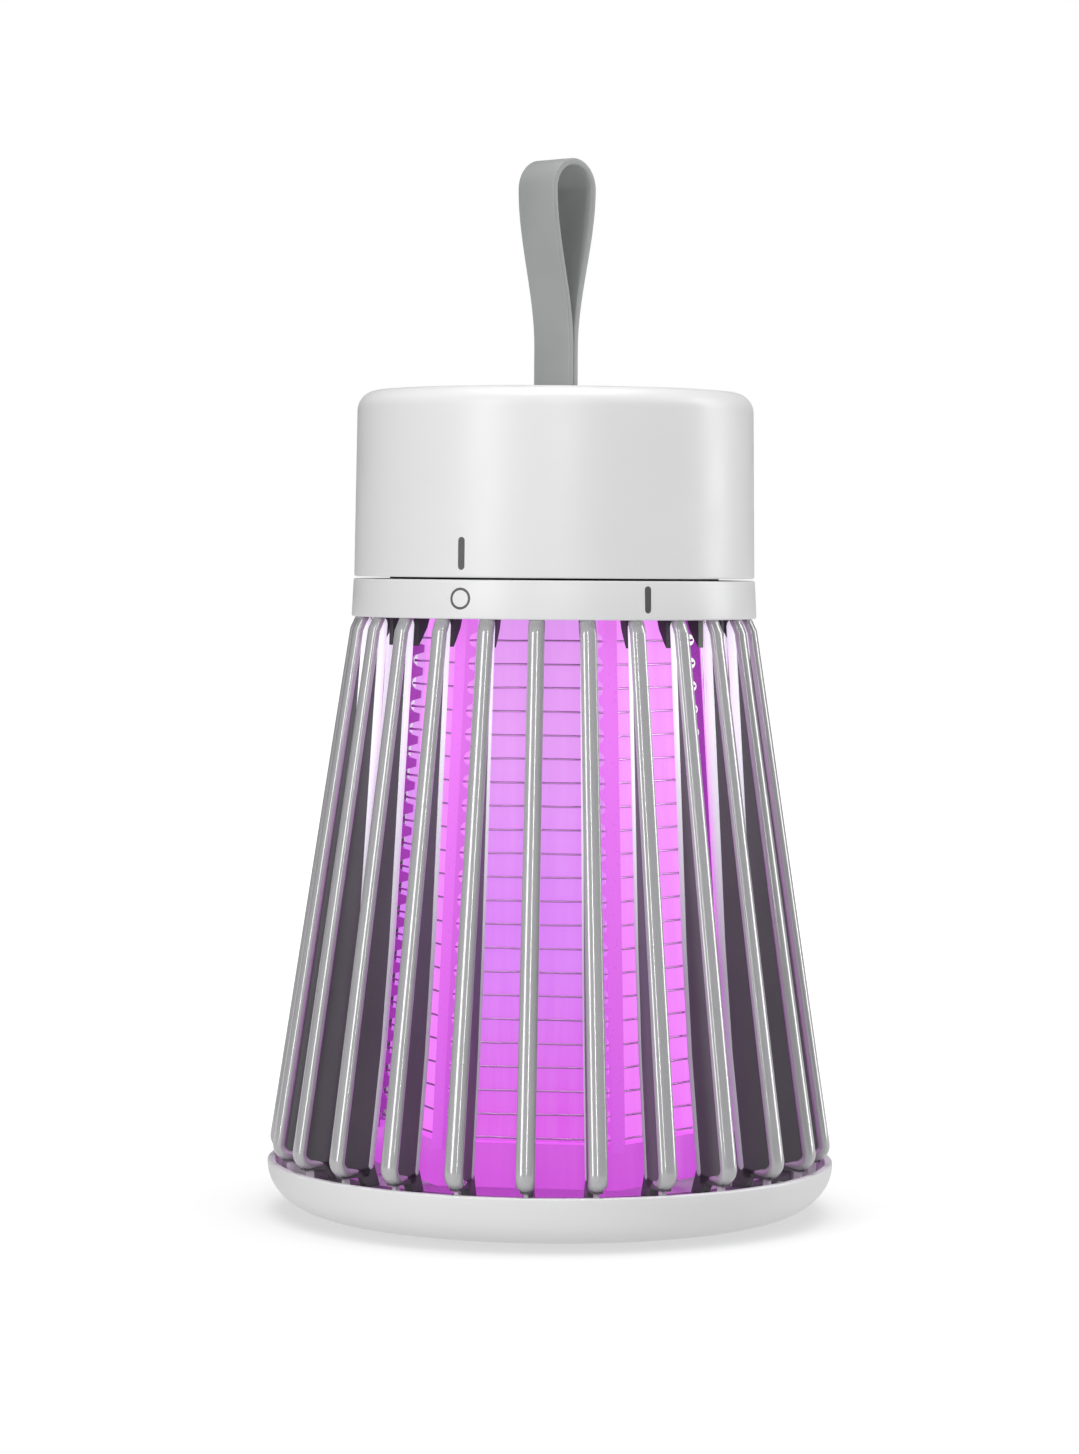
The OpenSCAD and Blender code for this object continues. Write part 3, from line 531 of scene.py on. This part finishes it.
def make_cap(white):
    shape = Shape()
    outline = [(0, CAP_HIGH, 0), (CAP_TOP_R, CAP_HIGH, CAP_EDGE_R), (CAP_R, CAP_LOW, 0.4),
               (CAP_BORE_R, CAP_LOW, 0.3), (CAP_BORE_R, CAP_CEILING, 1.0), (0, CAP_CEILING, 0)]
    shape.lathe(rounded(outline, 10), 256)
    cap = mesh_piece("cap_cover", shape, "head", [white], 35)
    half_w, half_l = STRAP_T + 0.2, STRAP_W / 2 + 0.3
    slot = Shape()
    low, high = CAP_CEILING - 2, CAP_HIGH + 4
    slot.slab([(-half_w, low), (half_w, low), (half_w, high), (-half_w, high)],
              2 * half_l, 0, Matrix.Rotation(math.radians(STRAP_TURN), 4, "Z"))
    port_r, port_x = 1.2, USB_W / 2 + 0.3
    port = rounded([(-port_x, -0.3, port_r), (port_x, -0.3, port_r),
                    (port_x, USB_H + 0.3, port_r), (-port_x, USB_H + 0.3, port_r)], 5)
    lamp = rear_opening(circle(LAMP_R + 0.08, 32), PCB_TOP + LAMP_R + 0.2, LAMP_X)
    cut(cap, slot, rear_opening(port, PCB_TOP, 0), lamp, *mark_cutters("head"))
    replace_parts(cap, "cap_shell")


def rear_opening(outline, z, x):
    """An outline of (across, up) as a solid that runs out through the back of the cap."""
    shape = Shape()
    n = len(outline)
    points = [(x + u, y, z + v) for y in (30, 45) for u, v in outline]
    sides = [(i, (i + 1) % n, (i + 1) % n + n, i + n) for i in range(n)]
    shape.add(points, sides + [tuple(range(n - 1, -1, -1)), tuple(range(n, 2 * n))])
    return shape


# ------------------------------------------------------------------ strap

def strap_spread(z):
    """Half the distance between the strap's layers at a height."""
    mid = STRAP_TOP - LOOP_R
    t = min(1, max(0, (z - STRAP_FUSE_Z) / (mid - STRAP_FUSE_Z)))
    return STRAP_T / 2 + (LOOP_R - STRAP_T) * t * t * (3 - 2 * t)


def make_strap(silicone):
    """One band of silicone: up from the cap, round the loop and down again, its layers joined below."""
    mid = STRAP_TOP - LOOP_R
    side = [(strap_spread(z), z) for z in (between(STRAP_ROOT_Z, mid, k / 40) for k in range(41))]
    crown_r = LOOP_R - STRAP_T / 2
    crown = [(crown_r * math.cos(a), mid + crown_r * math.sin(a))
             for a in (math.pi * k / 32 for k in range(1, 32))]
    line = side + crown + [(-x, z) for x, z in side[::-1]]
    half_w, half_t = STRAP_W / 2, STRAP_T / 2
    edge = 0.32
    band = rounded([(half_w, half_t, edge), (-half_w, half_t, edge), (-half_w, -half_t, edge),
                    (half_w, -half_t, edge)], 4)
    shape = Shape()
    place = Matrix.Rotation(math.radians(STRAP_TURN), 4, "Z")
    shape.sweep([(x, 0, z) for x, z in line], lambda k: band, 0, place)
    shape.slab(rounded([(-0.8, STRAP_ROOT_Z, 0), (0.8, STRAP_ROOT_Z, 0), (0.55, STRAP_FUSE_Z + 1.5, 0.2),
                        (-0.55, STRAP_FUSE_Z + 1.5, 0.2)], 3), STRAP_W - 0.5, 0, place)
    strap = mesh_piece("carry_loop", shape, "head", [silicone], 50)
    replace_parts(strap, "strap")


# ------------------------------------------------------------------ wires

def make_wires(steel):
    """Round bare wires, bent round the six posts, each a little uneven as real ones are."""
    chance = random.Random(7)
    step = (WIRE_HIGH - WIRE_LOW) / (WIRE_COUNT - 1)
    for name, node, first in (("wires_live", "grid_wire_live", 0), ("wires_return", "grid_wire_return", 1)):
        shape = Shape()
        for i in range(first, WIRE_COUNT, 2):
            z = WIRE_HIGH - i * step
            corner = lit_r(z) + WIRE_OFF
            turns = [math.radians(POST_TURN + FRONT + 60 * k) for k in range(6)]
            hexagon = rounded([(corner * math.cos(a), corner * math.sin(a), 1.2) for a in turns], 4)
            dense = densify(hexagon + hexagon[:1], 5.0)[:-1]
            path = [(x, y, z + chance.uniform(-0.07, 0.07)) for x, y in dense]
            shape.sweep(path, lambda k: circle(WIRE_R, 8), 0, None, True, Vector((0, 0, 1)))
        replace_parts(mesh_piece(name, shape, "head", [steel], 60), node)


# ------------------------------------------------------------------ the lit core's finishes

def height_share(nodes, links, low, high):
    """0 to 1 over a range of heights in mm, from the object's own frame."""
    place, split = nodes.new("ShaderNodeTexCoord"), nodes.new("ShaderNodeSeparateXYZ")
    links.new(place.outputs["Object"], split.inputs[0])
    return spread(nodes, links, split.outputs["Z"], 0, 1, low * MM, high * MM)


def facing(nodes, links, low, high):
    """0 to 1 as a surface turns to face the front or the back of the object, where the LEDs point."""
    place, split = nodes.new("ShaderNodeNewGeometry"), nodes.new("ShaderNodeSeparateXYZ")
    size = nodes.new("ShaderNodeMath")
    size.operation = "ABSOLUTE"
    links.new(place.outputs["True Normal"], split.inputs[0])
    links.new(split.outputs["Y"], size.inputs[0])
    return spread(nodes, links, size.outputs[0], 0, 1, low, high)


def outwardness(nodes, links):
    """1 on faces that look away from the object's axis and 0 on faces that look round it."""
    geometry, flat = nodes.new("ShaderNodeNewGeometry"), nodes.new("ShaderNodeVectorMath")
    unit, dot = nodes.new("ShaderNodeVectorMath"), nodes.new("ShaderNodeVectorMath")
    flat.operation, unit.operation, dot.operation = "MULTIPLY", "NORMALIZE", "DOT_PRODUCT"
    flat.inputs[1].default_value = (1, 1, 0)
    links.new(geometry.outputs["Position"], flat.inputs[0])
    links.new(flat.outputs[0], unit.inputs[0])
    links.new(unit.outputs[0], dot.inputs[0])
    links.new(geometry.outputs["True Normal"], dot.inputs[1])
    return spread(nodes, links, dot.outputs["Value"], 0, 1, 0.35, 0.85)


def led_side(nodes, links):
    """0 at the object's left and right and 1 at its front and back, which the LED board faces; on the posts
    it picks painted glow over painted shade.
    """
    place, flat = nodes.new("ShaderNodeNewGeometry"), nodes.new("ShaderNodeVectorMath")
    unit, split = nodes.new("ShaderNodeVectorMath"), nodes.new("ShaderNodeSeparateXYZ")
    size = nodes.new("ShaderNodeMath")
    flat.operation, unit.operation, size.operation = "MULTIPLY", "NORMALIZE", "ABSOLUTE"
    flat.inputs[1].default_value = (1, 1, 0)
    links.new(place.outputs["Position"], flat.inputs[0])
    links.new(flat.outputs[0], unit.inputs[0])
    links.new(unit.outputs[0], split.inputs[0])
    links.new(split.outputs["Y"], size.inputs[0])
    return spread(nodes, links, size.outputs[0], 0, 0.85, 0.3, 0.7)


def glow(name, colours, strength, base, roughness, streak=0.05):
    """A lit plastic: pink sides that turn violet where the LEDs shine through, richer low down."""
    pink_high, pink_low, violet_high, violet_mid, violet_low = colours
    made, shader, nodes, links = shader_material(name)
    rise = height_share(nodes, links, 15, 95)
    pink = mix_colours(nodes, links, rise, pink_low, pink_high)
    violet = mix_colours(nodes, links, height_share(nodes, links, 22, 52), violet_low, violet_mid)
    violet = mix_colours(nodes, links, height_share(nodes, links, 58, 96), violet, violet_high)
    body = mix_colours(nodes, links, facing(nodes, links, 0.6, 0.97), pink, violet)
    lines = noise(nodes, links, 700, 2.0, (1, 1, 0.03))
    fine = mix_colours(nodes, links, spread(nodes, links, lines, 0, streak), body, (1, 0.8, 1))
    cloud = noise(nodes, links, 55, 3.0, (1, 1, 0.6))
    links.new(mix_colours(nodes, links, spread(nodes, links, cloud, 0, 0.10), fine, (0.45, 0.06, 0.6)),
              shader.inputs["Emission Color"])
    shader.inputs["Emission Strength"].default_value = strength
    shader.inputs["Base Color"].default_value = (*base, 1)
    shader.inputs["Roughness"].default_value = roughness
    return made


def ridge_painted_highlight():
    """The fins' inner edge, light grey with a painted highlight: a glow painted brighter towards its top."""
    made, shader, nodes, links = shader_material("edge_painted_highlight")
    rise = height_share(nodes, links, 50, 100)
    # painted highlight: the edge's glow runs from dark at 50 mm up to light grey at 100 mm
    lit = mix_colours(nodes, links, rise, (0.10, 0.08, 0.12), (0.72, 0.70, 0.78))
    links.new(lit, shader.inputs["Emission Color"])
    shader.inputs["Emission Strength"].default_value = 0.75
    fine = noise(nodes, links, 300, 3.0, (1, 1, 0.1))
    grey = mix_colours(nodes, links, fine, (0.60, 0.60, 0.62), (0.72, 0.72, 0.74))
    links.new(grey, shader.inputs["Base Color"])
    shader.inputs["Roughness"].default_value = 0.14
    return made


def post_painted_light():
    """The posts' plastic with painted light: a painted glow on its outer face and on the notched sides of the
    front and back posts, painted shade in dark violet on the notched sides of the others.
    """
    made, shader, nodes, links = shader_material("post_violet_painted_light")
    out = outwardness(nodes, links)
    rise = height_share(nodes, links, 15, 95)
    # painted glow on the posts, which are no lamp, and painted shade on the sides of the left and right posts
    lit = mix_colours(nodes, links, rise, (0.62, 0.10, 0.72), (0.80, 0.20, 0.86))
    cloud = spread(nodes, links, noise(nodes, links, 160, 3.0), 0, 0.5)
    side_painted_shade = mix_colours(nodes, links, cloud, (0.24, 0.018, 0.30), (0.34, 0.035, 0.40))
    side = mix_colours(nodes, links, led_side(nodes, links), side_painted_shade, lit)
    links.new(mix_colours(nodes, links, out, side, lit), shader.inputs["Emission Color"])
    shader.inputs["Emission Strength"].default_value = 0.9
    shader.inputs["Base Color"].default_value = (0.16, 0.03, 0.18, 1)
    links.new(spread(nodes, links, noise(nodes, links, 900, 2.0), 0.26, 0.36), shader.inputs["Roughness"])
    return made


# ------------------------------------------------------------------ finishes of the CAD nodes that stay

def give(material, *names):
    for name in names:
        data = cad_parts[name].data
        data.materials.clear()
        data.materials.append(material)


def finish_inner_parts():
    """The finishes of what is seen through the gaps, from below or when the head is lifted off."""
    violet = finish_of("violet_plastic", (0.30, 0.05, 0.34), 0.32, vary=0.1, patch=90, grain=0.006)
    give(violet, "grid_top_plate")
    dark = finish_of("dark_abs", (0.035, 0.034, 0.038), 0.45, vary=0.12, grain=0.01, grain_size=0.4)
    give(dark, "collar_hub", "head_base", "head_spigot")
    hoop = finish_of("hoop_grey", (0.10, 0.098, 0.105), 0.42, vary=0.08, grain=0.008)
    give(hoop, "upper_hoop", "lower_hoop")
    rubber = finish_of("foot_rubber", (0.045, 0.045, 0.047), 0.78, vary=0.16, patch=120, grain=0.03,
                       grain_size=0.5)
    give(rubber, "rubber_feet")
    plated = finish_of("steel", (0.62, 0.62, 0.63), 0.28, metal=1.0, vary=0.07, patch=150, grain=0.004,
                       grain_size=0.3, stretch=(1, 1, 8))
    give(plated, "strap_pin", "cap_screws", "retaining_ring", "pcb_screws", "grid_screws", "usb_socket")
    board = finish_of("circuit_board", (0.015, 0.14, 0.05), 0.34, vary=0.22, patch=260, grain=0.03,
                      grain_size=1.2)
    give(board, "main_pcb")
    give(finish_of("cell_wrap", (0.03, 0.30, 0.17), 0.3, vary=0.06, grain=0.012, grain_size=2.0),
         "battery_cell")
    black = finish_of("black_plastic", (0.018, 0.018, 0.02), 0.48, vary=0.18, grain=0.012)
    give(black, "battery_holder", "rectifier_diodes", "switch_body")
    give(finish_of("ferrite", (0.055, 0.055, 0.06), 0.7, vary=0.2, patch=300, grain=0.03),
         "transformer_core")
    tape = finish_of("winding_tape", (0.62, 0.42, 0.05), 0.36, vary=0.1, grain=0.03, grain_size=0.8,
                     stretch=(1, 1, 6))
    give(tape, "transformer_winding")
    give(finish_of("capacitor_film", (0.36, 0.05, 0.03), 0.26, vary=0.1, grain=0.02, grain_size=1.5),
         "hv_capacitors")
    give(finish_of("clear_lamp", (0.75, 0.9, 0.78), 0.12, vary=0.04, grain=0.003, Transmission_Weight=0.6),
         "charge_lamp")
    give(finish_of("plunger_plastic", (0.45, 0.05, 0.04), 0.4, vary=0.1, grain=0.006), "switch_plunger")
    give(finish_of("led_board_white", (0.82, 0.82, 0.80), 0.35, vary=0.05, grain=0.01), "led_board")
    give(finish_of("brass_strip", (0.72, 0.50, 0.20), 0.3, metal=1.0, vary=0.1, patch=140, grain=0.004,
                   stretch=(1, 1, 0.1)), "busbar_live", "busbar_return")


def finish_lit_core():
    pinks = (0.86, 0.27, 0.92), (0.84, 0.16, 0.90)
    violets = (0.70, 0.30, 0.82), (0.64, 0.20, 0.86), (0.66, 0.09, 0.74)
    give(glow("lit_diffuser", pinks + violets, 1.0, (0.10, 0.03, 0.10), 0.4), "light_diffuser")
    give(glow("core_band", ((0.60, 0.08, 0.68),) * 5, 0.95, (0.12, 0.03, 0.12), 0.3, 0.02), "core_base")
    give(glow("uv_led", ((0.65, 0.38, 1.0),) * 5, 1.6, (0.2, 0.1, 0.3), 0.25), "uv_leds")
    give(post_painted_light(), *("grid_post_%d" % number for number in range(1, 7)))


make_stage()
white = finish_of("white_abs", (0.80, 0.80, 0.805), 0.36, vary=0.012, patch=40, grain=0.006, grain_size=0.35)
make_tray(white)
make_ring(white)
make_cap(white)
make_marks(finish_of("mark_ink", (0.10, 0.10, 0.105), 0.5, vary=0.1, grain=0.01))
make_fins(finish_of("bead_grey", (0.44, 0.44, 0.452), 0.30, vary=0.03, grain=0.003, Coat_Weight=1.0,
                    Coat_Roughness=0.04, Coat_IOR=1.85),
          # the fins are one grey plastic: the plates' darker grey is painted shade, its green tint offsetting
          # the core's violet light
          finish_of("plate_painted_shade_grey", (0.125, 0.134, 0.128), 0.42, vary=0.06, grain=0.008), ridge_painted_highlight())
make_strap(finish_of("strap_silicone", (0.34, 0.35, 0.35), 0.5, vary=0.05, grain=0.01))
# the steel's pink-violet colour is a painted reflection of the core's glow
make_wires(finish_of("grid_wire", (0.66, 0.40, 0.68), 0.3, metal=1.0, vary=0.08))
finish_inner_parts()
finish_lit_core()
